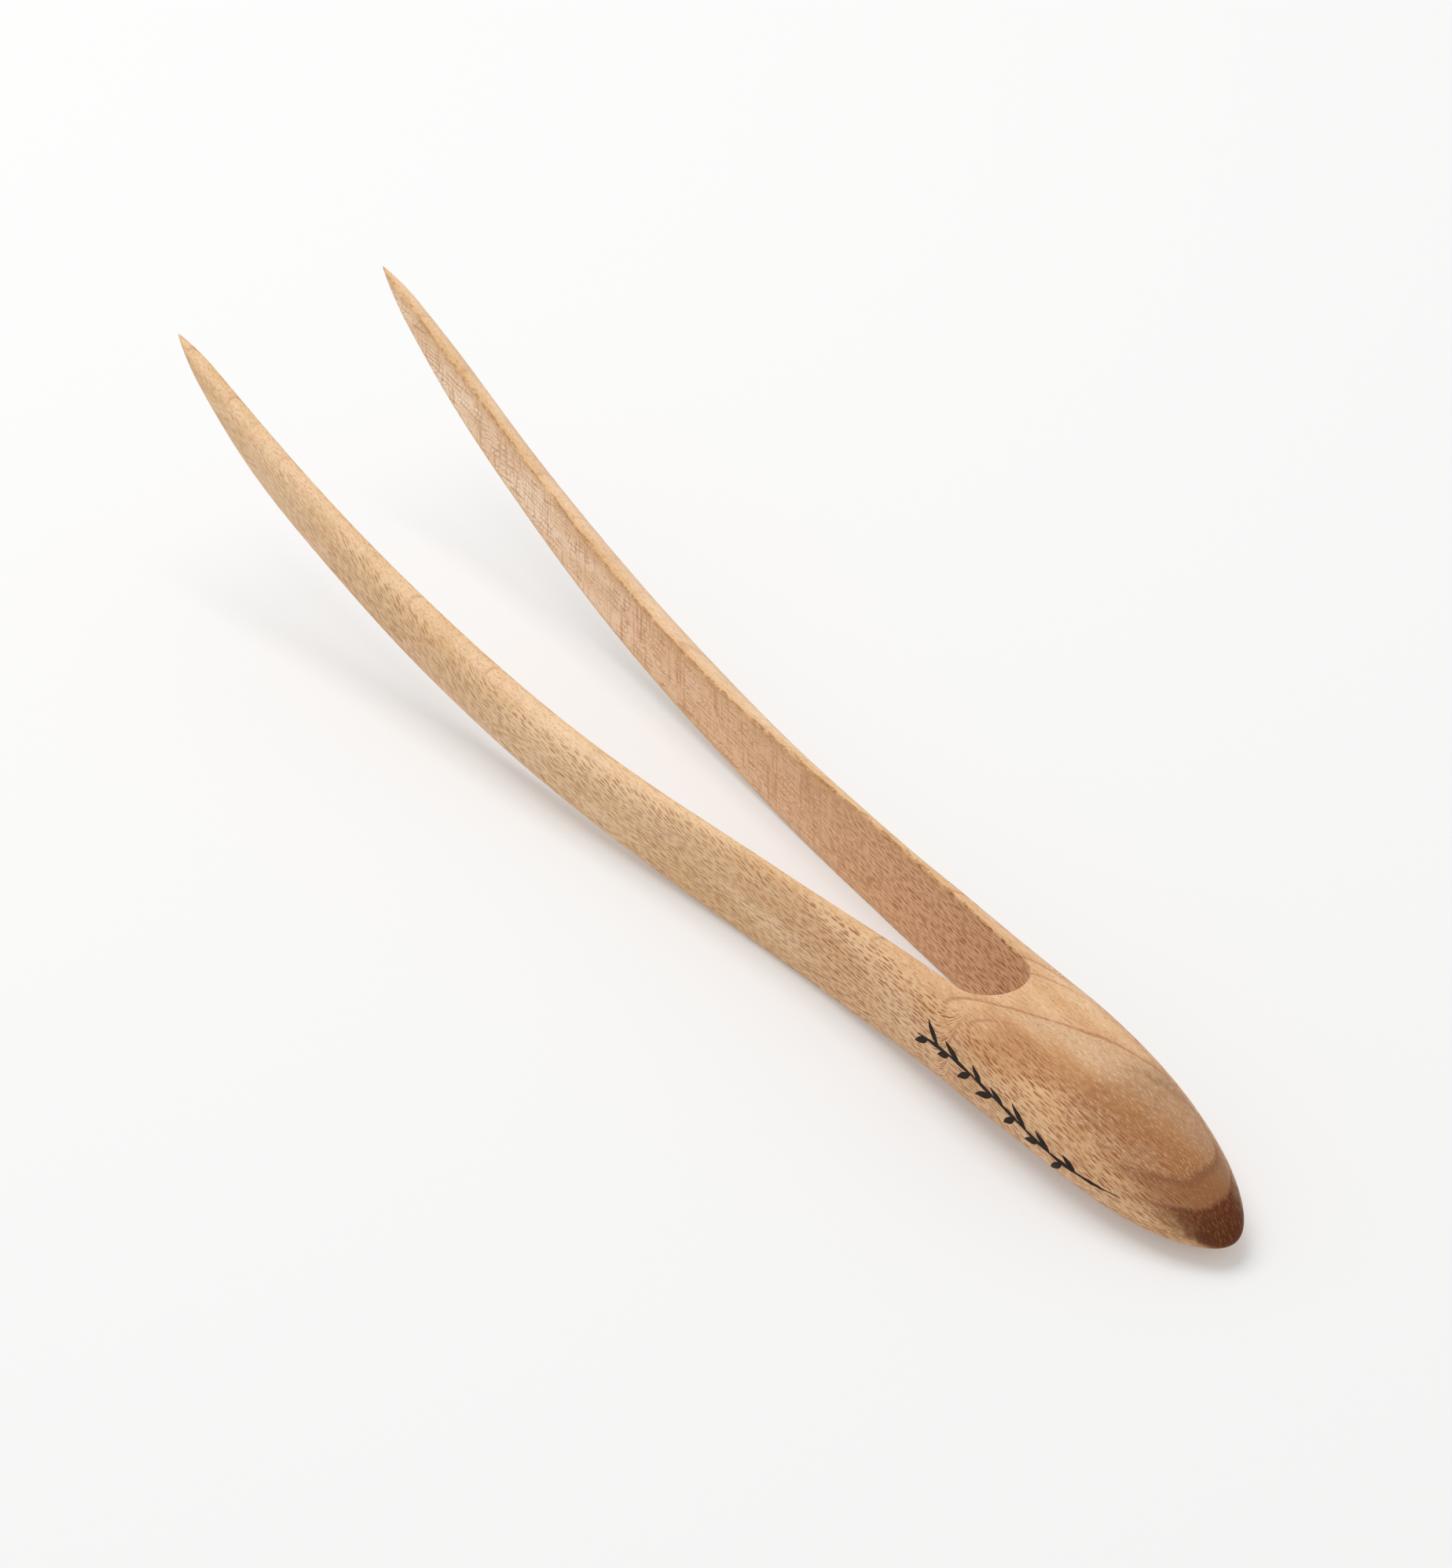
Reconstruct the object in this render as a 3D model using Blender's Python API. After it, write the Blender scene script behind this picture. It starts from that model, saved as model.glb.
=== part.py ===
"""Sprung wooden tongs, carved from one board: a solid head and two long arms.

Frame: X along the tongs with the head's butt at +X and the tips at -X, Y across the
arms, Z up. The origin is under the middle of the outline, on the surface the tongs
lie on. The left arm is at -Y, as seen from the head looking towards the tips.

The real tongs are one piece of wood that bends. Here each arm is cut across into three
lengths, hinged one to the next, so that the bend can be posed.
All dimensions are in millimetres and are turned into metres when a mesh is made.
"""
import math

import bmesh
import bpy
import numpy as np

MM = 0.001

# Distances "s" run from just behind the butt (0) to the tips (300).
BUTT = 1.2
TIP = 300.0
MIDDLE = (BUTT + TIP) / 2

# The outline at stations along the tongs: half width, top and underside heights.
STATIONS = (0, 12, 30, 45, 60, 80, 100, 125, 150, 175, 200, 225, 250, 275, 300)
HALF_WIDTH = (12.0, 12.8, 13.3, 13.7, 13.7, 13.1, 12.9, 14.5, 17.4, 20.2, 22.0, 23.3, 24.4, 25.5, 24.7)
TOP = (9.0, 12.6, 17.0, 19.2, 19.9, 19.7, 18.9, 18.0, 16.9, 17.1, 19.4, 23.7, 29.6, 36.8, 44.2)
UNDERSIDE = (-0.3, -0.35, 0.45, 0.9, 0.7, 0.35, 0.0, -0.25, 0.8, 2.8, 5.9, 10.6, 17.5, 27.4, 43.0)

# The flat inner faces: half the gap between the arms.
GAP_STATIONS = (60, 85, 110, 140, 170, 200, 230, 260, 300)
HALF_GAP = (6.4, 8.4, 10.4, 12.5, 14.5, 16.5, 18.7, 20.7, 22.3)

NOSE_PLAN = 36.0        # length over which the butt rounds off, seen from above
NOSE_SIDE = 16.0        # the same, seen from the side
SLOT_CENTRE = 68.5      # centre of the round end of the slot between the arms
EDGE = 0.5              # chamfer along the inner edges of the arms

CUTS = (84.0, 125.0, 175.0)    # where each arm is cut across
CUT_GAP = 0.3

RING_POINTS = 18
HEAD_POINTS = 19


def spline(stations, values):
    """A natural cubic curve through the values."""
    x = np.array(stations, float)
    y = np.array(values, float)
    h = np.diff(x)
    n = len(x)
    matrix = np.eye(n)
    right = np.zeros(n)
    for k in range(1, n - 1):
        matrix[k, k - 1:k + 2] = h[k - 1], 2 * (h[k - 1] + h[k]), h[k]
        right[k] = 6 * ((y[k + 1] - y[k]) / h[k] - (y[k] - y[k - 1]) / h[k - 1])
    bend = np.linalg.solve(matrix, right)

    def curve(s):
        k = int(np.clip(np.searchsorted(x, s, side="right") - 1, 0, n - 2))
        t = min(max(s, x[0]), x[-1]) - x[k]
        slope = (y[k + 1] - y[k]) / h[k] - h[k] * (2 * bend[k] + bend[k + 1]) / 6
        return float(y[k] + t * (slope + t * (bend[k] / 2 + t * (bend[k + 1] - bend[k]) / (6 * h[k]))))

    return curve


half_width_at = spline(STATIONS, HALF_WIDTH)
top_at = spline(STATIONS, TOP)
underside_at = spline(STATIONS, UNDERSIDE)
half_gap_at = spline(GAP_STATIONS, HALF_GAP)


def smoothstep(low, high, value):
    t = min(max((value - low) / (high - low), 0.0), 1.0)
    return t * t * (3 - 2 * t)


def rounding(s, length):
    """Grows from 0 at the butt to 1 like a quarter circle."""
    t = min(max((s - BUTT) / length, 0.0), 1.0)
    return math.sqrt(1 - (1 - t) ** 2)


class Section:
    """The cross-section at one station: a rounded outer side about a flat middle."""

    def __init__(self, s):
        self.s = s
        self.gap = half_gap_at(s)
        self.half_width = half_width_at(s) * rounding(s, NOSE_PLAN)
        self.flat = max(self.gap * smoothstep(50, 95, s), 0.06 * self.half_width)
        self.half_height = (top_at(s) - underside_at(s)) / 2 * rounding(s, NOSE_SIDE)
        self.middle = (top_at(s) + underside_at(s)) / 2
        self.power = 2 / (2.0 + 0.9 * smoothstep(5, 60, s))

    def point(self, angle):
        across = max(math.cos(angle), 0.0) ** self.power
        up = math.copysign(abs(math.sin(angle)) ** self.power, math.sin(angle))
        y = self.flat + (self.half_width - self.flat) * across
        z = self.middle + self.half_height * up
        return y, max(z, 0.0)

    def angle_at(self, y):
        share = min(max((y - self.flat) / (self.half_width - self.flat), 0.0), 1.0)
        return math.acos(share ** (1 / self.power))


def arm_ring(s, side):
    """The closed outline of one arm, with small chamfers at its inner edges."""
    section = Section(s)
    edge = min(EDGE, 0.25 * section.half_height)
    limit = section.angle_at(section.gap + edge)
    angles = np.linspace(-limit, limit, RING_POINTS)
    points = [section.point(a) for a in angles]
    low, high = points[0][1], points[-1][1]
    points.insert(0, (section.gap, low + edge))
    points.append((section.gap, high - edge))
    return [(MIDDLE - s, side * y, z) for y, z in points]


def head_ring(s):
    """The closed outline of the solid head, both sides."""
    section = Section(s)
    angles = np.linspace(-math.pi / 2, math.pi / 2, HEAD_POINTS)
    right = [section.point(a) for a in angles]
    points = right + [(-y, z) for y, z in reversed(right)]
    return [(MIDDLE - s, y, z) for y, z in points]


def mesh_object(name, corners, faces, origin, material):
    """One closed mesh whose origin is moved to the given point. Faces it rests on become one face."""
    mesh = bpy.data.meshes.new(name)
    moved = [tuple((c - o) * MM for c, o in zip(corner, origin)) for corner in corners]
    mesh.from_pydata(moved, [], faces)
    work = bmesh.new()
    work.from_mesh(mesh)
    bmesh.ops.recalc_face_normals(work, faces=work.faces)
    resting = [face for face in work.faces if all(abs(v.co.z) < 1e-8 for v in face.verts)]
    if resting:
        bmesh.ops.dissolve_faces(work, faces=resting, use_verts=True)
    for face in work.faces:
        face.smooth = len(face.verts) <= 4
    work.to_mesh(mesh)
    work.free()
    thing = bpy.data.objects.new(name, mesh)
    thing.location = [o * MM for o in origin]
    bpy.context.scene.collection.objects.link(thing)
    if material:
        mesh.materials.append(material)
    return thing


def loft(rings, nose=None):
    """Corners and faces of a skin over the rings, capped at both ends or drawn to a nose point."""
    count = len(rings[0])
    corners = [corner for ring in rings for corner in ring]
    faces = []
    for r in range(len(rings) - 1):
        for k in range(count):
            a = r * count + k
            b = r * count + (k + 1) % count
            faces.append((a, b, b + count, a + count))
    last = (len(rings) - 1) * count
    faces.append(tuple(range(last, last + count)))
    if nose:
        corners.append(nose)
        tip = len(corners) - 1
        faces += [((k + 1) % count, k, tip) for k in range(count)]
    else:
        faces.append(tuple(reversed(range(count))))
    return corners, faces


def wood(name, colour):
    material = bpy.data.materials.new(name)
    material.use_nodes = True
    shader = material.node_tree.nodes["Principled BSDF"]
    shader.inputs["Base Color"].default_value = (*colour, 1.0)
    shader.inputs["Roughness"].default_value = 0.5
    return material


def slot_cutter():
    """An upright block with the plan shape of the slot: a round end opening into the gap."""
    radius = half_gap_at(SLOT_CENTRE)
    plan = []
    for angle in np.linspace(math.pi / 2, -math.pi / 2, 25):
        plan.append((SLOT_CENTRE - radius * math.cos(angle), radius * math.sin(angle)))
    for s in np.arange(72, 92, 4):
        plan.append((s, -half_gap_at(s)))
        plan.insert(0, (s, half_gap_at(s)))
    rings = [[(MIDDLE - s, y, z) for s, y in plan] for z in (-5.0, 30.0)]
    corners, faces = loft(rings)
    cutter = mesh_object("slot_cutter", corners, faces, (0, 0, 0), None)
    cutter.hide_render = True
    cutter.display_type = "WIRE"
    return cutter


def build_head():
    """The solid head with the butt, the round end of the slot and the roots of both arms."""
    near_butt = [BUTT + 14 * t * t for t in np.linspace(0.12, 1, 8)]
    rest = np.linspace(19, CUTS[0] - CUT_GAP / 2, 14)
    rings = [head_ring(s) for s in [*near_butt, *rest]]
    nose = (MIDDLE - BUTT, 0.0, Section(BUTT).middle)
    corners, faces = loft(rings, nose)
    head = mesh_object("bridge", corners, faces, (0, 0, 0), wood("head_wood", (0.55, 0.33, 0.18)))
    cut = head.modifiers.new("slot", "BOOLEAN")
    cut.operation = "DIFFERENCE"
    cut.solver = "EXACT"
    cut.object = slot_cutter()
    return head


def build_arm(prefix, side):
    """Three hinged lengths of one arm. Each one's origin is on its hinge, at its inner edge."""
    colours = ((0.56, 0.34, 0.19), (0.58, 0.36, 0.20), (0.60, 0.38, 0.22))
    ends = (*CUTS, TIP)
    for k, part in enumerate(("root", "middle", "tip")):
        start = ends[k] + CUT_GAP / 2
        stop = ends[k + 1] - (CUT_GAP / 2 if k < 2 else 0)
        steps = max(8, round((stop - start) / 4.5))
        stations = np.linspace(start, stop, steps + 1)
        if part == "tip":
            stations = np.append(stations[:-1], [TIP - 2.2, TIP - 0.9, TIP])
        corners, faces = loft([arm_ring(s, side) for s in stations])
        hinge = (MIDDLE - ends[k], side * half_gap_at(ends[k]), 0.0)
        name = f"{prefix}_arm_{part}"
        mesh_object(name, corners, faces, hinge, wood(f"{name}_wood", colours[k]))


def build():
    for thing in list(bpy.data.objects):
        bpy.data.objects.remove(thing, do_unlink=True)
    build_head()
    build_arm("left", -1)
    build_arm("right", 1)


build()
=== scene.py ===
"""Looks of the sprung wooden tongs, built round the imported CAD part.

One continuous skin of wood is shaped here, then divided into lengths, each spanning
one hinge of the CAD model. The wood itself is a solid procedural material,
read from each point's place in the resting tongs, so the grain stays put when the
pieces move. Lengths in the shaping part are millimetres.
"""

import math
from types import SimpleNamespace

import bpy
import numpy as np
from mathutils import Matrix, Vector


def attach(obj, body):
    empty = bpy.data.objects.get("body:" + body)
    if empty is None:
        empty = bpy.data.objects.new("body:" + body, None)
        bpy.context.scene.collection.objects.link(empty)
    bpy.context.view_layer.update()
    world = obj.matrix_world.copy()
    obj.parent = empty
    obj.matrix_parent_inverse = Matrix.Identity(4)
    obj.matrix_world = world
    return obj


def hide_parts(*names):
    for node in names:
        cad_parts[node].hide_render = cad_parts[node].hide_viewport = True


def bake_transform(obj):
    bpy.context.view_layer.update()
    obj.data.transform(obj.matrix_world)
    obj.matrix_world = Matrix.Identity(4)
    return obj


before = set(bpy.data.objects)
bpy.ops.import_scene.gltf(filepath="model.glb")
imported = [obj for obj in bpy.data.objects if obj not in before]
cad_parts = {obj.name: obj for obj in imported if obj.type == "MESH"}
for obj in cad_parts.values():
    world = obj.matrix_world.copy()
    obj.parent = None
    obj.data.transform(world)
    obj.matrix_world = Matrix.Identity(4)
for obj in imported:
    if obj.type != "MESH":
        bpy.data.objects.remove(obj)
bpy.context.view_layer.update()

MM = 0.001

# ---------------------------------------------------------------- dimensions

BUTT = 1.2
TIP = 300.0
MIDDLE = (BUTT + TIP) / 2

# Distances from the butt end, and the outer shape there.
STATIONS = (0, 12, 30, 45, 60, 80, 100, 125, 150, 175, 200, 225, 250, 275, 300)
HALF_WIDTH = (12.0, 12.8, 13.3, 13.7, 13.7, 13.1, 12.9, 14.5, 17.4, 20.2, 22.0, 23.3, 24.4, 25.5, 24.7)
TOP = (9.0, 12.6, 17.0, 19.2, 19.9, 19.7, 18.9, 18.0, 16.9, 17.1, 19.4, 23.7, 29.6, 36.8, 44.2)
UNDERSIDE = (-0.3, -0.35, 0.45, 0.9, 0.7, 0.35, 0.0, -0.25, 0.8, 2.8, 5.9, 10.6, 17.5, 27.4, 43.0)
GAP_STATIONS = (60, 85, 110, 140, 170, 200, 230, 260, 300)
HALF_GAP = (6.4, 8.4, 10.4, 12.5, 14.5, 16.5, 18.7, 20.7, 22.3)

NOSE_PLAN = 36.0        # how far from the butt its rounding reaches, seen from above
NOSE_SIDE = 16.0        # the same, seen from the side
NOSE_UNDER = 22.0       # the underside curves up to the butt more slowly than the top
FLAT_GROWS = (50, 95)   # stations between which the arms' flat tops take on their width
LEAST_FLAT = 0.06       # the flat top's least width, as a share of the whole
SQUARE_GROWS = (5, 60)  # stations between which the round section turns squarer
SQUARENESS = 0.9        # how much that adds to the round section's power of 2
SLOT_CENTRE = 68.5      # centre of the slot's round end
EDGE_RADIUS = 0.4       # softness of the crisp inner edges
POINT_START = 289.0     # where each tip starts to narrow to its point
POINT_CENTRE = 0.45     # how far across the arm the point lies, as a share of its width

GRAIN_TILT = 0.235      # how far the wood's layers rise per millimetre towards the tips
TIP_TILT = 0.42         # how much more steeply they rise along the tips
TIP_TILT_START = 195.0
HALVES_APART = 40.0     # keeps the two halves' grain marks from matching

# Lengths of skin: (name ending, from, to, hinge station within it)
LENGTHS = (
    ("neck", 72.0, 104.0, 84.0),
    ("waist", 104.0, 150.0, 125.0),
    ("blade", 150.0, 200.0, 175.0),
    ("point", 200.0, TIP, None),
)


def spline(places, values):
    """A natural cubic curve through the values, for arrays of places."""
    x = np.array(places, float)
    y = np.array(values, float)
    h = np.diff(x)
    n = len(x)
    matrix = np.eye(n)
    right = np.zeros(n)
    for k in range(1, n - 1):
        matrix[k, k - 1:k + 2] = h[k - 1], 2 * (h[k - 1] + h[k]), h[k]
        right[k] = 6 * ((y[k + 1] - y[k]) / h[k] - (y[k] - y[k - 1]) / h[k - 1])
    bend = np.linalg.solve(matrix, right)

    def curve(s):
        s = np.clip(np.asarray(s, float), x[0], x[-1])
        k = np.clip(np.searchsorted(x, s, side="right") - 1, 0, n - 2)
        t = s - x[k]
        slope = (y[k + 1] - y[k]) / h[k] - h[k] * (2 * bend[k] + bend[k + 1]) / 6
        return y[k] + t * (slope + t * (bend[k] / 2 + t * (bend[k + 1] - bend[k]) / (6 * h[k])))

    return curve


half_width_at = spline(STATIONS, HALF_WIDTH)
top_at = spline(STATIONS, TOP)
underside_at = spline(STATIONS, UNDERSIDE)
half_gap_at = spline(GAP_STATIONS, HALF_GAP)
SLOT_RADIUS = float(half_gap_at(SLOT_CENTRE))
SLOT_END = SLOT_CENTRE - SLOT_RADIUS


def smoothstep(low, high, value):
    """Goes smoothly from 0 to 1 as the value goes from low to high."""
    t = np.clip((value - low) / (high - low), 0.0, 1.0)
    return t * t * (3 - 2 * t)


def rounding(s, length):
    """A quarter circle's rise from 0 at the butt to 1 at the length."""
    t = np.clip((s - BUTT) / length, 0.0, 1.0)
    return np.sqrt(1 - (1 - t) ** 2)


def section(s):
    """The outer shape at a station.

    Returns the half width, half the flat top's width, the height of the middle, the half
    height, how square the section is, and the share of the half height kept below the middle."""
    half_width = float(half_width_at(s) * rounding(s, NOSE_PLAN))
    flat = max(float(half_gap_at(s) * smoothstep(*FLAT_GROWS, s)), LEAST_FLAT * half_width)
    middle = float(top_at(s) + underside_at(s)) / 2
    half_height = float(top_at(s) - underside_at(s)) / 2 * float(rounding(s, NOSE_SIDE))
    squareness = 2.0 + SQUARENESS * float(smoothstep(*SQUARE_GROWS, s))
    under = float(rounding(s, NOSE_UNDER) / rounding(s, NOSE_SIDE))
    return half_width, flat, middle, half_height, squareness, under


def inner_limit(s):
    """Half the gap at a station: nothing in the head, the slot's arc, then the flat inner face."""
    if s <= SLOT_END:
        return 0.0
    if s < SLOT_CENTRE:
        return min(math.sqrt(SLOT_RADIUS ** 2 - (SLOT_CENTRE - s) ** 2), float(half_gap_at(s)))
    return float(half_gap_at(s))


def slot_distance(s, y):
    """How far a point of the top or underside is from the slot's edge."""
    if s < SLOT_CENTRE:
        return np.hypot(SLOT_CENTRE - s, y) - SLOT_RADIUS
    return y - half_gap_at(s)


# ------------------------------------------------------------------ the skin

OUTER_POINTS = 54
WALL_POINTS = 12
DENSE_POINTS = 400
NEAR_EDGE = (0.0, 0.06, 0.14, 0.26, 0.42, 0.7)  # distances of the points next to an edge
FULL_SPACING = 12.0                             # a shorter outline has them closer together

# Where the outlines are close together or further apart, and how far.
BUTT_CLOSE = 14.0
HEAD_FROM, HEAD_STEP = 16.2, 1.3
BEFORE_SLOT = (0.55, 0.4, 0.28, 0.18, 0.1, 0.04)
ARC_DEGREES = 84
ARMS_FROM, ARM_STEP = 70.0, 1.0
NARROW_FROM, NARROW_STEP = 288.0, 0.6
LAST_CLOSE = 1.4


def outline(s):
    """One half-section, from the inner top edge round the outside to the inner bottom edge.

    Returns the points' y and z, each one's distance along the outline, and its whole length."""
    inner = inner_limit(s)
    half_width, flat, middle, half_height, squareness, under = section(s)
    power = 2 / squareness
    start = 0.0
    if inner > flat:
        start = math.pi / 2 - math.acos(((inner - flat) / (half_width - flat)) ** (1 / power))
    # A dense curve first, then points at chosen distances along it.
    angle = np.linspace(math.pi / 2 - start, -math.pi / 2 + start, DENSE_POINTS)
    y = flat + (half_width - flat) * np.maximum(np.cos(angle), 0) ** power
    z = middle + half_height * np.sign(np.sin(angle)) * np.abs(np.sin(angle)) ** power
    z = np.where(z < middle, middle + (z - middle) * under, z)
    if inner < flat:
        y = np.concatenate([[inner], y, [inner]])
        z = np.concatenate([[z[0]], z, [z[-1]]])
    along = np.concatenate([[0], np.cumsum(np.hypot(np.diff(y), np.diff(z)))])
    total = along[-1]
    near = np.array(NEAR_EDGE) * min(1.0, total / FULL_SPACING)
    spread = np.linspace(near[-1], total - near[-1], OUTER_POINTS - 2 * len(near) + 2)
    picked = np.concatenate([near[:-1], spread, total - near[-2::-1]])
    y = np.interp(picked, along, y)
    z = np.interp(picked, along, z)
    # The edge beside the slot or the inner face is slightly rounded.
    radius = EDGE_RADIUS * min(1.0, half_height / 2)
    depth = np.clip(slot_distance(s, y), 0, radius)
    drop = radius - np.sqrt(np.maximum(radius ** 2 - (radius - depth) ** 2, 0))
    drop = np.where(slot_distance(s, y) < radius, drop, 0)
    z = z - drop * np.sign(z - middle)
    z = np.maximum(z, 0.0)
    return y, z, picked, total


def stations():
    """Where outlines are taken: closest at the butt, round the slot's end and at the tip."""
    butt = BUTT + BUTT_CLOSE * np.linspace(0.02, 1, 30) ** 2
    head = np.arange(HEAD_FROM, SLOT_END - 0.8, HEAD_STEP)
    before = SLOT_END - np.array(BEFORE_SLOT)
    arc = SLOT_CENTRE - SLOT_RADIUS * np.cos(np.radians(np.linspace(0, ARC_DEGREES, 22)))
    arms = np.arange(ARMS_FROM, NARROW_FROM, ARM_STEP)
    narrowing = np.arange(NARROW_FROM, TIP - LAST_CLOSE, NARROW_STEP)
    point = TIP - LAST_CLOSE * np.linspace(1, 0.0, 9) ** 2
    return np.concatenate([butt, head, before, arc, arms, narrowing, point])


def half_rings():
    """One half of the tongs (y > 0) as a grid: for each station an outline, then the inner wall.

    Returns the stations, the points, and each point's zone: whether it is on the inner wall,
    how far from an edge, its station, and how far across the layers of the grain."""
    rows = []
    zones = []
    kept = stations()
    for s in kept:
        y, z, along, total = outline(float(s))
        inner = inner_limit(float(s))
        lean = GRAIN_TILT * (MIDDLE - s) - TIP_TILT * max(s - TIP_TILT_START, 0.0)
        wall_z = np.linspace(z[-1], z[0], WALL_POINTS + 2)[1:-1]
        wall_y = np.full(WALL_POINTS, inner)
        across = np.concatenate([z[0] - along, wall_z]) + lean
        y = np.concatenate([y, wall_y])
        z = np.concatenate([z, wall_z])
        edge = np.concatenate([np.minimum(along, total - along), z[0] - wall_z])
        wall = np.concatenate([np.zeros(len(along)), np.ones(WALL_POINTS)])
        wall[[0, len(along) - 1]] = 0.5
        if s > POINT_START:
            t = (s - POINT_START) / (TIP - POINT_START)
            shrink = max(1 - t ** 2.3, 0.002) ** 0.75
            centre = inner + POINT_CENTRE * (y.max() - inner)
            y = centre + (y - centre) * shrink
            z = z.mean() + (z - z.mean()) * shrink
        rows.append(np.stack([np.full(len(y), MIDDLE - s), y, z], axis=1))
        zones.append(np.stack([wall, edge, np.full(len(y), s), across], axis=1))
    return kept, np.array(rows), np.array(zones)


class Skin:
    """Both halves of the surface as one set of points, from which lengths are taken."""

    def __init__(self):
        self.kept, self.rows, self.zones = half_rings()
        self.count = self.rows.shape[1]
        self.solid = self.kept <= SLOT_END + 1e-6
        self.index = {}
        self.points = []
        self.marks = []
        faces = []
        for side in (-1, 1):
            faces += self.faces(side, 0, len(self.kept) - 1)
        faces += self.nose()
        self.points = np.array(self.points)
        self.marks = np.array(self.marks)
        mesh = bpy.data.meshes.new("whole")
        mesh.from_pydata(self.points.tolist(), [], faces)
        normals = np.zeros(len(self.points) * 3, np.float32)
        mesh.vertices.foreach_get("normal", normals)
        self.normals = normals.reshape(-1, 3)
        bpy.data.meshes.remove(mesh)

    def corner(self, side, r, k):
        """The point's number. In the head the halves share the points on the middle plane."""
        shared = self.solid[r] and (k == 0 or k >= OUTER_POINTS - 1)
        key = (0 if shared else side, r, k)
        if key not in self.index:
            self.index[key] = len(self.points)
            x, y, z = self.rows[r, k]
            self.points.append((x, side * y, z))
            self.marks.append((*self.zones[r, k], key[0]))
        return self.index[key]

    def faces(self, side, first, last):
        """The surface of one half between two stations."""
        made = []
        for r in range(first, last):
            for k in range(self.count):
                if k >= OUTER_POINTS - 1 and self.solid[r + 1]:
                    continue
                j = (k + 1) % self.count
                quad = [self.corner(side, r, k), self.corner(side, r, j)]
                quad += [self.corner(side, r + 1, j), self.corner(side, r + 1, k)]
                face = list(dict.fromkeys(quad))
                if side < 0:
                    face.reverse()
                if len(face) > 2:
                    made.append(face)
        return made

    def nose(self):
        """Closes the butt with a fan about one point."""
        key = (0, -1, 0)
        if key not in self.index:
            self.index[key] = len(self.points)
            self.points.append((MIDDLE - BUTT, 0.0, float(self.rows[0, :, 2].mean())))
            self.marks.append((*self.zones[0, 0], 0))
        tip = self.index[key]
        made = []
        for side in (-1, 1):
            for k in range(OUTER_POINTS - 1):
                face = [tip, self.corner(side, 0, k + 1), self.corner(side, 0, k)]
                if side < 0:
                    face.reverse()
                made.append(face)
        return made

    def end(self, side, r, towards_tip):
        """The hidden face that closes a length at a station."""
        loop = [self.corner(side, r, k) for k in range(self.count)]
        if (side < 0) == towards_tip:
            loop.reverse()
        return [loop]

    def piece(self, name, faces):
        """One length of the skin as its own mesh that shades as part of the whole."""
        used = sorted({v for f in faces for v in f})
        new = {v: k for k, v in enumerate(used)}
        mesh = bpy.data.meshes.new(name)
        mesh.from_pydata((self.points[used] * MM).tolist(), [], [[new[v] for v in f] for f in faces])
        mesh.polygons.foreach_set("use_smooth", [True] * len(mesh.polygons))
        store(mesh, "place", self.points[used])
        store(mesh, "zone", self.marks[used, :3])
        half = self.marks[used, 4] * HALVES_APART
        grain = np.stack([self.points[used, 0], self.marks[used, 3], half], axis=1)
        store(mesh, "grain", grain)
        store(mesh, "facing", self.normals[used])
        mesh.normals_split_custom_set_from_vertices(self.normals[used].tolist())
        thing = bpy.data.objects.new(name, mesh)
        bpy.context.scene.collection.objects.link(thing)
        return thing


def store(mesh, name, values):
    """Keeps three numbers with each point, for the material to read."""
    layer = mesh.attributes.new(name, "FLOAT_VECTOR", "POINT")
    layer.data.foreach_set("vector", np.asarray(values, np.float32).ravel())


def row_at(skin, s):
    """The number of the outline nearest to a station."""
    return int(np.argmin(np.abs(skin.kept - s)))


def build_pieces(material):
    """The head, then each arm's lengths; all but the last span a hinge, and only the last is fixed to
    a body.
    """
    skin = Skin()
    neck = row_at(skin, LENGTHS[0][1])
    faces = skin.nose()
    for side in (-1, 1):
        faces += skin.faces(side, 0, neck) + skin.end(side, neck, True)
    head = skin.piece("head_wood", faces)
    head.data.materials.append(material)
    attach(head, "head")
    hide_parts("bridge")
    chain = ("root", "middle", "tip")
    for prefix, side in (("left", -1), ("right", 1)):
        before = "head"
        for n, (ending, start, stop, hinge) in enumerate(LENGTHS):
            first, last = row_at(skin, start), row_at(skin, stop)
            faces = skin.end(side, first, False) + skin.faces(side, first, last)
            faces += skin.end(side, last, True)
            length = skin.piece(f"{prefix}_{ending}_wood", faces)
            length.data.materials.append(material)
            if hinge is None:
                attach(length, before)
                continue
            after = f"{prefix}_{chain[n]}"
            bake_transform(length)
            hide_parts(f"{prefix}_arm_{chain[n]}")
            before = after


# ------------------------------------------------------------- camera, light

VIEW_AZIMUTH = 55.17
VIEW_ELEVATION = 34.35
VIEW_DISTANCE = 1.050
LENS = 133.0
SENSOR = 36.0
AIM = (0.0006, 0, 0.015)
ASIDE = 0.0015          # how far the camera stands right of the line to its aim
BELOW = 0.0019          # and how far below it

WORLD_STRENGTH = 0.68
LAMP_PLACE = (-0.55, -0.08, 1.45)
LAMP_SIZE = 1.1
LAMP_WATTS = 13.9
LAMP_COLOUR = (1.0, 0.99, 0.98)
FLOOR_HALF = 3.0
FLOOR_LOOKS = (
    ("Base Color", (0.66, 0.66, 0.66, 1)),
    ("Emission Color", (1.0, 1.0, 1.0, 1)),
    ("Emission Strength", 0.19),
    ("Roughness", 0.9),
    ("Specular IOR Level", 0.1),
)


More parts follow.
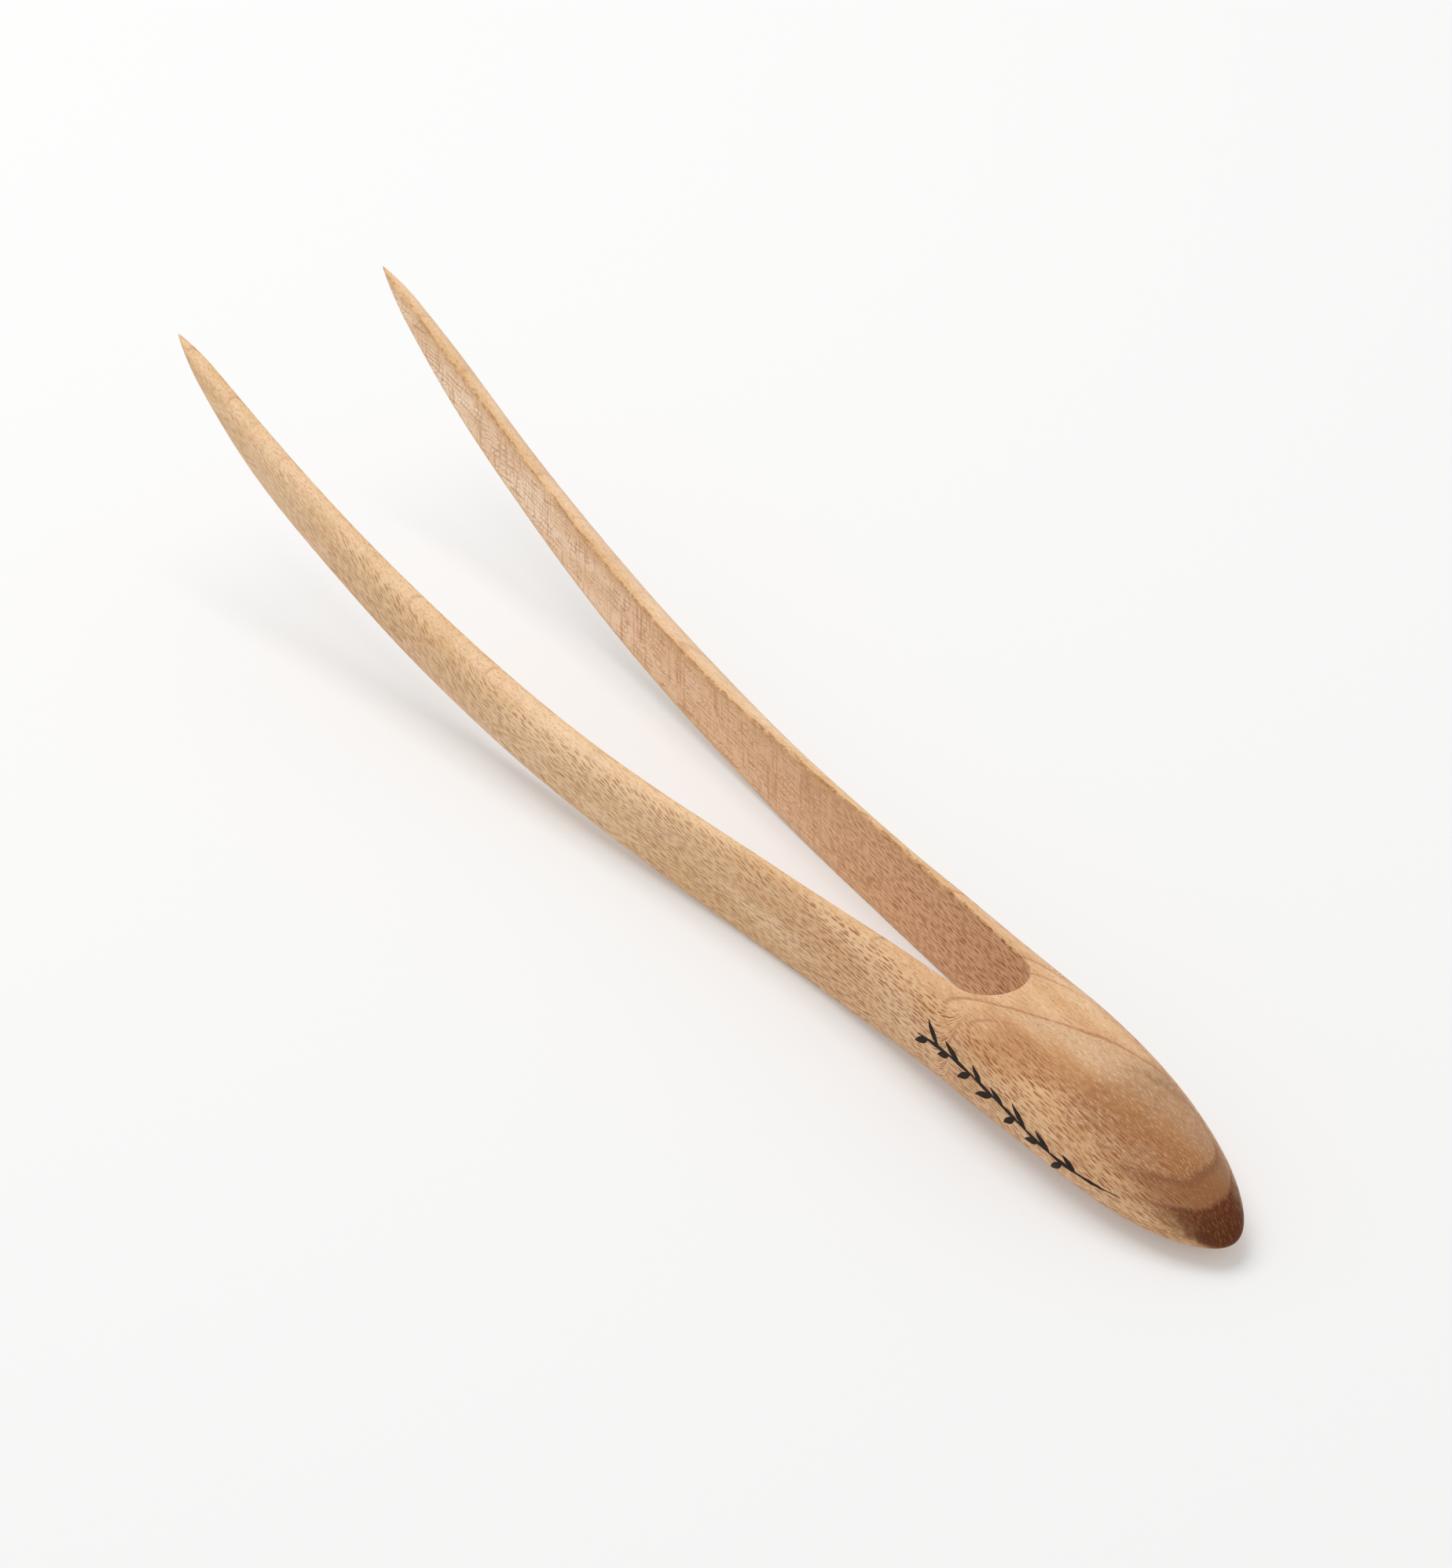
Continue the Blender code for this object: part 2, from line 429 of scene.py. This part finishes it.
def build_camera():
    a = math.radians(VIEW_AZIMUTH)
    e = math.radians(VIEW_ELEVATION)
    forward = Vector((-math.sin(a) * math.cos(e), math.cos(a) * math.cos(e), -math.sin(e)))
    right = Vector((math.cos(a), math.sin(a), 0))
    up = right.cross(forward)
    data = bpy.data.cameras.new("camera")
    data.lens = LENS
    data.sensor_width = SENSOR
    data.clip_start = 0.05
    data.clip_end = 20.0
    camera = bpy.data.objects.new("camera", data)
    camera.location = Vector(AIM) - VIEW_DISTANCE * forward + ASIDE * right - BELOW * up
    camera.rotation_mode = "QUATERNION"
    camera.rotation_quaternion = forward.to_track_quat("-Z", "Y")
    bpy.context.scene.collection.objects.link(camera)
    bpy.context.scene.camera = camera


def build_light():
    world = bpy.data.worlds.new("world")
    world.use_nodes = True
    background = world.node_tree.nodes["Background"]
    background.inputs["Color"].default_value = (1.0, 1.0, 1.0, 1.0)
    background.inputs["Strength"].default_value = WORLD_STRENGTH
    bpy.context.scene.world = world
    data = bpy.data.lights.new("overhead", "AREA")
    data.shape = "SQUARE"
    data.size = LAMP_SIZE
    data.energy = LAMP_WATTS
    data.color = LAMP_COLOUR
    lamp = bpy.data.objects.new("overhead", data)
    lamp.location = LAMP_PLACE
    lamp.rotation_mode = "QUATERNION"
    lamp.rotation_quaternion = (-Vector(LAMP_PLACE)).to_track_quat("-Z", "Y")
    bpy.context.scene.collection.objects.link(lamp)
    bpy.context.scene.view_settings.view_transform = "Standard"


def build_floor():
    mesh = bpy.data.meshes.new("floor")
    corners = [(x * FLOOR_HALF, y * FLOOR_HALF, 0) for x, y in ((-1, -1), (1, -1), (1, 1), (-1, 1))]
    mesh.from_pydata(corners, [], [(0, 1, 2, 3)])
    floor = bpy.data.objects.new("floor", mesh)
    material = bpy.data.materials.new("floor_paper")
    material.use_nodes = True
    shader = material.node_tree.nodes["Principled BSDF"]
    for socket, value in FLOOR_LOOKS:
        shader.inputs[socket].default_value = value
    mesh.materials.append(material)
    bpy.context.scene.collection.objects.link(floor)


# ------------------------------------------------------------- shader nodes

class Nodes:
    """Short forms for the shader nodes. Positions are millimetres of the resting tongs."""

    def __init__(self, name):
        self.material = bpy.data.materials.new(name)
        self.material.use_nodes = True
        self.tree = self.material.node_tree
        self.shader = self.tree.nodes["Principled BSDF"]

    def node(self, kind, **settings):
        made = self.tree.nodes.new(kind)
        for key, value in settings.items():
            setattr(made, key, value)
        return made

    def feed(self, socket, value):
        if isinstance(value, bpy.types.NodeSocket):
            self.tree.links.new(value, socket)
        else:
            socket.default_value = value

    def fed(self, made, values, output=0):
        """The node's output, with its first inputs fed the values in turn."""
        for socket, value in zip(made.inputs, values):
            self.feed(socket, value)
        return made.outputs[output]

    def attribute(self, name):
        return self.node("ShaderNodeAttribute", attribute_name=name).outputs["Vector"]

    def split(self, vector):
        made = self.node("ShaderNodeSeparateXYZ")
        self.feed(made.inputs[0], vector)
        return made.outputs[0], made.outputs[1], made.outputs[2]

    def combine(self, *values):
        return self.fed(self.node("ShaderNodeCombineXYZ"), values)

    def math(self, operation, *values):
        return self.fed(self.node("ShaderNodeMath", operation=operation), values)

    def vector(self, operation, *values):
        made = self.node("ShaderNodeVectorMath", operation=operation)
        return self.fed(made, values, "Value" if operation == "LENGTH" else "Vector")

    def step(self, value, low, high, start=0.0, end=1.0):
        """A smooth change from start to end as the value goes from low to high."""
        made = self.node("ShaderNodeMapRange", interpolation_type="SMOOTHSTEP")
        return self.fed(made, (value, low, high, start, end))

    def noise(self, place, per_mm, detail, roughness=0.5, output="Fac"):
        made = self.node("ShaderNodeTexNoise")
        self.feed(made.inputs["Vector"], self.vector("MULTIPLY", place, per_mm))
        made.inputs["Scale"].default_value = 1.0
        made.inputs["Detail"].default_value = detail
        made.inputs["Roughness"].default_value = roughness
        return made.outputs[output]

    def product(self, *values):
        total = values[0]
        for value in values[1:]:
            total = self.math("MULTIPLY", total, value)
        return total

    def without(self, value):
        """One minus the value."""
        return self.math("SUBTRACT", 1.0, value)

    def mix(self, first, second, *amounts):
        """The first colour with the second laid over it by the product of the amounts."""
        made = self.node("ShaderNodeMix", data_type="RGBA")
        self.feed(made.inputs[0], self.product(*amounts))
        self.feed(made.inputs[6], first)
        self.feed(made.inputs[7], second)
        return made.outputs[2]

    def flecks(self, place, cell, size, share, kind="3D", disorder=1.0):
        """Scattered small ellipsoids (ellipses in 2D), one to a cell; about a share are drawn."""
        scaled = self.vector("MULTIPLY", place, [1 / c for c in cell])
        cells = self.node("ShaderNodeTexVoronoi", feature="F1", voronoi_dimensions=kind)
        self.feed(cells.inputs["Vector"], scaled)
        cells.inputs["Scale"].default_value = 1.0
        cells.inputs["Randomness"].default_value = disorder
        away = self.vector("SUBTRACT", scaled, cells.outputs["Position"])
        away = self.vector("MULTIPLY", away, [c / d for c, d in zip(cell, size)])
        chance, length, strength = self.split(cells.outputs["Color"])
        reach = self.math("MULTIPLY_ADD", length, 0.7, 0.55)
        inside = self.math("DIVIDE", self.vector("LENGTH", away), reach)
        mask = self.step(inside, 0.45, 1.15, 1.0, 0.0)
        drawn = self.step(chance, share - 0.05, share + 0.05, 1.0, 0.0)
        return self.product(mask, drawn, self.math("MULTIPLY_ADD", strength, 0.4, 0.6))

    def bump(self, height, strength, distance):
        """Raises the surface by the height, the distance being metres."""
        made = self.node("ShaderNodeBump")
        made.inputs["Strength"].default_value = strength
        made.inputs["Distance"].default_value = distance
        self.feed(made.inputs["Height"], height)
        self.feed(self.shader.inputs["Normal"], made.outputs["Normal"])


# ------------------------------------------------------------------ the wood

def rgb(red, green, blue):
    return (red, green, blue, 1.0)


PALE_MAPLE = rgb(0.79, 0.545, 0.325)
WARM_MAPLE = rgb(0.70, 0.445, 0.225)
BLUSH = rgb(0.80, 0.50, 0.32)
HEAD_PALE = rgb(0.755, 0.48, 0.268)
HEAD_WARM = rgb(0.645, 0.37, 0.178)
BAND_PALE = rgb(0.60, 0.385, 0.225)
BAND_BROWN = rgb(0.43, 0.18, 0.048)
RING_SHADE = rgb(0.52, 0.25, 0.12)
RING_LINE = rgb(0.38, 0.155, 0.068)
# the inner walls beside the slot, reddish and darkened with painted shade
WALL_SLOT_SHADED = rgb(0.82, 0.50, 0.285)
WALL_PINK = rgb(0.88, 0.60, 0.385)
WALL_PALE = rgb(0.98, 0.745, 0.54)
WALL_WARM = rgb(0.77, 0.47, 0.24)
RAYS = rgb(0.55, 0.25, 0.11)
WEAVE = rgb(0.50, 0.27, 0.14)
SOAKED = rgb(0.26, 0.10, 0.03)
SOAKED_FIRST = rgb(0.19, 0.065, 0.02)
SOAKED_RIM = rgb(0.12, 0.036, 0.011)
SOAKED_SECOND = rgb(0.085, 0.017, 0.005)
FIBRE_DARK = rgb(0.30, 0.14, 0.055)
FIBRE_LIGHT = rgb(0.95, 0.74, 0.52)
DASH = rgb(0.27, 0.075, 0.02)
TICK = rgb(0.33, 0.155, 0.06)
CREST_GOLD = rgb(0.66, 0.37, 0.145)
# the grey-pink of the tops beside the crease, partly painted sheen
CREST_PALE_SHEEN = rgb(0.82, 0.60, 0.44)
CREASE = rgb(0.36, 0.16, 0.06)
INK_DARK = rgb(0.012, 0.008, 0.006)
INK_SOAKED = rgb(0.06, 0.03, 0.018)

RING_PERIOD = 5.6               # from one ring's edge to the next, through the layers
RING_LEVEL = 43.2               # where the count of the layers has a main ring's edge
BETWEEN_LEVEL = 44.8            # and where it has the fainter one between
RIM_LEVELS = (44.55, 43.0)      # the edges of the two dark steps at the butt
BETWEEN_HALVES = (-6.0, 6.0)    # y where one half's looks give way to the other's


def read_surface(n):
    """What the wood depends on: where each point is, which way it faces and in which zone."""
    at = SimpleNamespace()
    at.flat_place = n.attribute("place")
    at.nx, ny, at.nz = n.split(n.attribute("facing"))
    at.wall, at.edge, at.s = n.split(n.attribute("zone"))
    at.outer = n.without(at.wall)
    wander = n.noise(at.flat_place, (0.025, 0.09, 0.09), 1.0, output="Color")
    wander = n.vector("SUBTRACT", wander, (0.5, 0.5, 0.5))
    at.place = n.vector("ADD", at.flat_place, n.vector("MULTIPLY", wander, (3.0, 2.0, 2.0)))
    at.x, at.y, at.z = n.split(at.flat_place)
    at.sideways = n.math("ABSOLUTE", ny)
    at.side_face = n.step(at.sideways, 0.35, 0.75)
    at.head_only = n.step(at.s, 66.0, 50.0)
    at.broad = n.noise(at.place, (0.03, 0.16, 0.16), 3.0)
    at.fibre = n.noise(at.flat_place, (0.4, 3.6, 3.6), 3.0, 0.6)
    streak = n.noise(at.place, (0.05, 0.35, 0.35), 3.0)
    slant = n.math("MULTIPLY_ADD", streak, 5.0, n.math("MULTIPLY_ADD", at.x, -0.205, at.y))
    at.slant = n.math("ADD", slant, 26.7)
    at.growth = count_layers(n, at)
    return at


def count_layers(n, at):
    """A count that goes up through the gently tilted layers of growth, in millimetres."""
    swirl = n.noise(at.flat_place, (0.04, 0.12, 0.12), 2.0)
    tilt = n.math("MULTIPLY_ADD", at.x, GRAIN_TILT, at.z)
    along_tip = n.math("MAXIMUM", n.math("SUBTRACT", at.s, TIP_TILT_START), 0.0)
    tilt = n.math("MULTIPLY_ADD", along_tip, -TIP_TILT, tilt)
    tilt = n.math("MULTIPLY_ADD", swirl, 1.2, n.math("SUBTRACT", tilt, 0.6))
    behind = n.step(at.s, 18.0, 45.0)
    across = n.math("MULTIPLY_ADD", behind, -0.0065, 0.02)
    across = n.math("MULTIPLY_ADD", at.y, across, n.product(behind, -0.33))
    across = n.product(across, at.y, n.step(at.s, 60.0, 140.0, 1.0, 0.25))
    return n.math("ADD", tilt, across)


def broad_colour(n, at):
    """Pale maple, warmer and browner towards the butt."""
    colour = n.mix(PALE_MAPLE, WARM_MAPLE, n.step(at.broad, 0.35, 0.68))
    blush = n.noise(at.place, (0.07, 0.3, 0.3), 2.0)
    colour = n.mix(colour, BLUSH, n.step(blush, 0.5, 0.75, 0.0, 0.55))
    head_colour = n.mix(HEAD_PALE, HEAD_WARM, n.step(at.broad, 0.36, 0.64))
    return n.mix(colour, head_colour, n.step(at.s, 60.0, 155.0, 1.0, 0.0))


def slanting_band(n, at, colour):
    """Across the head's top one ring goes from pale to a slanting orange-brown band."""
    above = n.step(at.growth, 43.1, 43.3)
    pale = n.product(above, n.step(at.slant, 3.0, 7.0), at.head_only, n.step(at.nz, 0.5, 0.8))
    colour = n.mix(colour, BAND_PALE, pale, 0.72)
    within = n.product(n.step(at.slant, -5.5, -1.5), n.step(at.slant, 7.0, 1.5))
    return n.mix(colour, BAND_BROWN, within, n.step(at.nz, 0.1, 0.5), at.head_only, 0.8)


def growth_rings(n, at, colour):
    """The layers' edges show as fine reddish lines, with a soft shade before each."""
    clear = n.math("MULTIPLY_ADD", at.side_face, -0.7, 1.0)
    clear = n.product(clear, n.step(at.s, 75.0, 105.0, 1.0, 0.45))
    over_slot = n.product(n.step(at.s, 53.0, 58.0), n.step(at.s, 90.0, 70.0))
    gap = n.math("ADD", n.step(at.s, 27.0, 23.0), over_slot)
    spread = n.step(at.s, 75.0, 105.0, 0.034, 0.06)
    faded = n.step(n.noise(at.flat_place, (0.06, 0.15, 0.15), 2.0), 0.38, 0.58, 0.25, 1.0)
    clear = n.product(clear, n.math("MAXIMUM", faded, n.step(at.s, 85.0, 65.0)))
    for level, strength in ((RING_LEVEL, 0.68), (BETWEEN_LEVEL, n.product(gap, 0.55))):
        turn = n.math("FRACT", n.math("DIVIDE", n.math("SUBTRACT", at.growth, level), RING_PERIOD))
        late = n.product(n.step(turn, 0.72, 1.0), n.step(turn, 0.995, 1.0, 1.0, 0.0))
        colour = n.mix(colour, RING_SHADE, late, clear, strength, 0.45)
        near = n.math("ABSOLUTE", n.math("SUBTRACT", turn, 0.97))
        line = n.step(near, 0.006, spread, 1.0, 0.0)
        colour = n.mix(colour, RING_LINE, line, clear, strength)
    return colour


def inner_faces(n, at, colour):
    """Reddish and darker beside the slot, partly painted shade of the slot's recess; pale and pink
    with a woven look at the tips.
    """
    towards_tip = n.step(at.s, 100.0, 165.0)
    # Darker towards the slot: partly the wood's redder tone, partly painted shade inside the slot.
    wall_colour = n.mix(WALL_SLOT_SHADED, WALL_PINK, towards_tip)
    wall_colour = n.mix(wall_colour, WALL_PALE, n.step(at.s, 185.0, 240.0))
    wall_colour = n.mix(wall_colour, WALL_WARM, n.step(at.broad, 0.4, 0.66, 0.0, 0.5))
    colour = n.mix(colour, wall_colour, at.wall, 0.92)
    cluster = n.noise(at.place, (0.22, 0.05, 0.06), 2.0)
    ray = n.noise(at.flat_place, (1.3, 0.1, 0.10), 3.0, 0.7)
    rays = n.product(n.step(ray, 0.48, 0.62), n.step(cluster, 0.42, 0.58), at.wall)
    colour = n.mix(colour, RAYS, rays, n.math("MULTIPLY_ADD", towards_tip, 0.55, 0.1))
    weave = n.noise(at.flat_place, (0.06, 0.2, 0.25), 2.0)
    uneven = n.step(n.noise(at.flat_place, (0.4, 0.2, 0.4), 2.0), 0.35, 0.6)
    for way, per_mm, waver, strength in ((at.z, 0.85, 3.0, 0.78), (at.x, 0.62, 9.0, 0.6)):
        turn = n.math("MULTIPLY_ADD", way, per_mm, n.math("MULTIPLY", weave, waver))
        away = n.math("ABSOLUTE", n.math("SUBTRACT", n.math("FRACT", turn), 0.5))
        line = n.step(away, 0.05, 0.16, 1.0, 0.0)
        colour = n.mix(colour, WEAVE, line, at.wall, towards_tip, uneven, strength)
    return colour


def end_grain(n, at, colour):
    """The butt soaks up more oil; its darkness steps at the edges of two rings."""
    facing = n.math("MULTIPLY_ADD", at.nz, 0.25, at.nx)
    facing = n.math("ADD", facing, n.math("MULTIPLY", at.fibre, 0.1))
    facing = n.product(facing, n.step(at.s, 48.0, 30.0))
    mottled = n.noise(at.flat_place, (0.5, 0.7, 0.7), 3.0)
    mottled = n.math("MULTIPLY", n.math("SUBTRACT", mottled, 0.5), 0.35)
    soaking = n.math("ADD", facing, mottled)
    off_side = n.step(at.sideways, 0.45, 0.8, 1.0, 0.35)
    colour = n.mix(colour, SOAKED, n.step(soaking, 0.2, 0.62, 0.0, 0.62), off_side)
    first = n.step(at.growth, 44.5, 44.9, 1.0, 0.0)
    first = n.product(n.step(facing, 0.36, 0.62), first, off_side, 0.5)
    second = n.step(at.growth, 42.9, 43.4, 1.0, 0.0)
    at.darkest = n.product(n.step(soaking, 0.46, 0.84), second, 0.92)
    colour = n.mix(colour, SOAKED_FIRST, first)
    for level in RIM_LEVELS:
        off_level = n.math("ABSOLUTE", n.math("SUBTRACT", at.growth, level))
        rim = n.step(off_level, 0.05, 0.3, 1.0, 0.0)
        colour = n.mix(colour, SOAKED_RIM, rim, n.step(facing, 0.45, 0.75), 0.36)
    at.dry = n.without(n.math("MAXIMUM", n.math("MULTIPLY", first, 1.2), at.darkest))
    return n.mix(colour, SOAKED_SECOND, at.darkest)


def fibres(n, at, colour):
    """Fine threads along the grain, the light ones missing where the wood is soaked."""
    colour = n.mix(colour, FIBRE_DARK, n.step(at.fibre, 0.5, 0.78, 0.0, 0.5))
    return n.mix(colour, FIBRE_LIGHT, n.step(at.fibre, 0.5, 0.24, 0.0, 0.36), at.dry)


def dashes(n, at, colour):
    """Short dark dashes on the side faces and the slot's walls, finer and paler ticks on top."""
    gx, row, side = n.split(n.attribute("grain"))
    drift = n.noise(at.flat_place, (0.05, 0.2, 0.2), 3.0, 0.6)
    row = n.math("ADD", n.math("MULTIPLY_ADD", drift, 1.2, row), side)
    row = n.math("MULTIPLY_ADD", gx, n.step(at.s, 70.0, 130.0, -0.11, -0.04), row)
    dash = n.flecks(n.combine(gx, row, 0.0), (2.1, 0.60, 1.0), (1.15, 0.175, 1.0), 0.95, "2D", 0.8)
    patch = n.step(n.noise(at.place, (0.12, 0.2, 0.35), 2.0), 0.3, 0.62, 0.75, 1.0)
    below_band = n.product(n.step(at.slant, 5.0, -3.0), at.head_only, n.step(at.nz, -0.5, 0.0))
    on_side = n.math("MAXIMUM", at.side_face, below_band)
    on_outside = n.product(on_side, at.outer, patch, n.step(at.s, 225.0, 285.0, 1.0, 0.45))
    on_wall = n.product(at.wall, n.step(at.s, 112.0, 175.0, 1.0, 0.0))
    at.dashed = n.product(dash, n.math("ADD", on_outside, on_wall), n.without(at.darkest))
    colour = n.mix(colour, DASH, at.dashed, n.step(at.s, 70.0, 130.0, 1.0, 0.74))
    tick = n.flecks(at.place, (1.1, 0.46, 2.4), (0.42, 0.13, 1.9), 0.85)
    return n.mix(colour, TICK, tick, n.step(at.sideways, 0.75, 0.4), at.outer, 0.5)


def crest(n, at, colour):
    """Beside the inner faces the wood is golden and speckled, with a broken dark crease; further out
    the upward-facing top is lighter, partly paler wood and partly painted sheen.
    """
    frayed = n.noise(at.flat_place, (0.45, 0.4, 0.7), 3.0, 0.65)
    from_edge = n.math("MULTIPLY_ADD", frayed, 2.6, n.math("SUBTRACT", at.edge, 1.2))
    upper = n.math("MAXIMUM", n.step(at.nz, 0.2, 0.6), n.product(at.wall, 0.9))
    depth = n.math("MULTIPLY_ADD", at.wall, 1.2, 2.0)
    golden = n.product(n.step(from_edge, 0.0, depth, 1.0, 0.0), upper, n.step(at.s, 74.0, 100.0))
    golden = n.product(golden, n.step(frayed, 0.35, 0.6, 0.5, 1.0))
    golden = n.product(golden, n.step(at.y, *BETWEEN_HALVES, 0.4, 1.0))
    colour = n.mix(colour, CREST_GOLD, golden, 0.62)
    # Lighter grey-pink on the upward-facing top away from the crease: partly paler wood, partly
    # painted sheen.
    pale_top_and_sheen = n.product(n.step(at.nz, 0.55, 0.9), n.step(from_edge, 0.8, 2.2))
    pale_top_and_sheen = n.product(pale_top_and_sheen, n.step(at.s, 90.0, 130.0), at.outer)
    colour = n.mix(colour, CREST_PALE_SHEEN, pale_top_and_sheen, n.step(at.y, *BETWEEN_HALVES, 0.1, 0.3))
    broken = n.step(n.noise(at.flat_place, (0.35, 0.3, 0.3), 3.0, 0.7), 0.43, 0.54)
    wavering = n.noise(at.flat_place, (0.14, 0.1, 0.1), 3.0, 0.6)
    wavering = n.step(wavering, 0.4, 0.7, 0.0, 0.5)
    off_crease = n.math("ABSOLUTE", n.math("SUBTRACT", at.edge, wavering))
    crease = n.product(n.step(off_crease, 0.06, 0.36, 1.0, 0.0), broken, upper)
    crease = n.product(crease, n.step(at.s, 74.0, 90.0))
    return n.mix(colour, CREASE, crease, n.step(at.y, *BETWEEN_HALVES, 0.35, 0.7))


def build_wood():
    """Lays the colours over each other; a layer leaves what later ones need in `at`."""
    n = Nodes("maple")
    at = read_surface(n)
    colour = broad_colour(n, at)
    for layer in (slanting_band, growth_rings, inner_faces, end_grain, fibres, dashes, crest):
        colour = layer(n, at, colour)
    n.feed(n.shader.inputs["Base Color"], colour)
    gloss = n.math("MULTIPLY_ADD", at.fibre, 0.16, 0.42)
    gloss = n.math("MULTIPLY_ADD", at.dashed, 0.12, gloss)
    n.feed(n.shader.inputs["Roughness"], gloss)
    n.feed(n.shader.inputs["Specular IOR Level"], n.math("MULTIPLY_ADD", at.darkest, -0.16, 0.22))
    height = n.math("MULTIPLY_ADD", at.dashed, -1.0, n.math("MULTIPLY", at.fibre, -0.8))
    n.bump(height, 0.35, 0.00006)
    return n.material


def build_ink_material():
    n = Nodes("ink")
    soaked = n.noise(n.attribute("place"), (1.4, 3.0, 3.0), 3.0, 0.65)
    n.feed(n.shader.inputs["Base Color"], n.mix(INK_DARK, INK_SOAKED, n.step(soaked, 0.42, 0.75)))
    n.feed(n.shader.inputs["Roughness"], n.step(soaked, 0.3, 0.7, 0.5, 0.7))
    n.shader.inputs["Specular IOR Level"].default_value = 0.1
    n.bump(soaked, 0.2, 0.00003)
    return n.material


# ------------------------------------------------------------- the pen motif

INK_RAISE = 0.03
INK_START = 80.0
INK_END = 133.0
STRIP = (-1.0, -0.33, 0.33, 1.0)    # the points across a stroke, in half widths
SLOPE_STEP = 0.05                   # how far to each side the surface is read for its slope
STEM_HEIGHT = 10.9
STEM_WAVE = 1.0
STEM_FALL = 3.6
LEAF_SPACING = 3.1
LEAF_LENGTH = 4.7
LEAF_HALF_WIDTH = 0.74
LEAF_LEAN = 38                      # degrees from the stem
THINNEST = 0.03


def side_of_head(x, z):
    """How far out the near side's surface is (a negative y) at a place along and up the head."""
    half_width, flat, middle, half_height, squareness, under = section(MIDDLE - x)
    if z < middle:
        half_height *= under
    up = min(abs(z - middle) / half_height, 0.999)
    return -(flat + (half_width - flat) * (1 - up ** squareness) ** (1 / squareness))


def inked(x, z):
    """A point just clear of the side of the head."""
    y = side_of_head(x, z)
    step = SLOPE_STEP
    along = Vector((2 * step, side_of_head(x + step, z) - side_of_head(x - step, z), 0))
    rise = Vector((0, side_of_head(x, z + step) - side_of_head(x, z - step), 2 * step))
    outward = along.cross(rise).normalized()
    return Vector((x, y, z)) + outward * INK_RAISE


def stroke(path, widths, points, faces):
    """Adds one pen stroke: a narrow strip that follows the curved side of the head."""
    first = len(points)
    path = np.array(path)
    along = np.gradient(path, axis=0)
    along /= np.hypot(along[:, 0], along[:, 1])[:, None]
    for (x, z), (dx, dz), width in zip(path, along, widths):
        for offset in STRIP:
            points.append(inked(x - dz * width * offset, z + dx * width * offset))
    across = len(STRIP)
    for row in range(len(path) - 1):
        for column in range(across - 1):
            a = first + row * across + column
            faces.append((a, a + across, a + across + 1, a + 1))


def stem_height(x):
    t = (x - INK_START) / (INK_END - INK_START)
    wave = STEM_WAVE * math.sin(t * 2.4 * math.pi)
    return STEM_HEIGHT + wave - STEM_FALL * float(smoothstep(0.45, 1.0, t))


def build_motif(material):
    """A leafy sprig drawn by pen along the near side of the head."""
    points, faces = [], []
    xs = np.linspace(INK_START, INK_END, 90)
    wave = 0.30 + 0.12 * np.sin(xs * 0.9)
    taper = np.minimum(1, (INK_END - xs) / 9) * np.minimum(1, 0.3 + (xs - INK_START) / 3)
    stroke([(x, stem_height(x)) for x in xs], wave * taper + THINNEST, points, faces)
    for count, x in enumerate(np.arange(INK_START + 3.0, INK_END - 8, LEAF_SPACING)):
        side = 1 if count % 2 else -1
        lean = math.radians(LEAF_LEAN + 9 * math.sin(count * 1.7))
        length = LEAF_LENGTH + 0.8 * math.sin(count * 2.3)
        t = np.linspace(0, 1, 14)
        curl = 0.5 * side * np.sin(t * math.pi / 2) ** 2
        px = x - length * t * math.cos(lean)
        pz = stem_height(x) + side * length * t * math.sin(lean) - curl
        swell = np.sin(np.clip(t, 0.02, 0.98) * math.pi) ** 0.8
        widths = LEAF_HALF_WIDTH * swell * (1 - 0.35 * t) + THINNEST
        stroke(list(zip(px, pz)), widths, points, faces)
    mesh = bpy.data.meshes.new("pen_sprig")
    mesh.from_pydata([tuple(p * MM) for p in points], [], faces)
    mesh.polygons.foreach_set("use_smooth", [True] * len(mesh.polygons))
    store(mesh, "place", [tuple(p) for p in points])
    mesh.materials.append(material)
    sprig = bpy.data.objects.new("pen_sprig", mesh)
    bpy.context.scene.collection.objects.link(sprig)
    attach(sprig, "head")


build_pieces(build_wood())
build_motif(build_ink_material())
build_floor()
build_light()
build_camera()
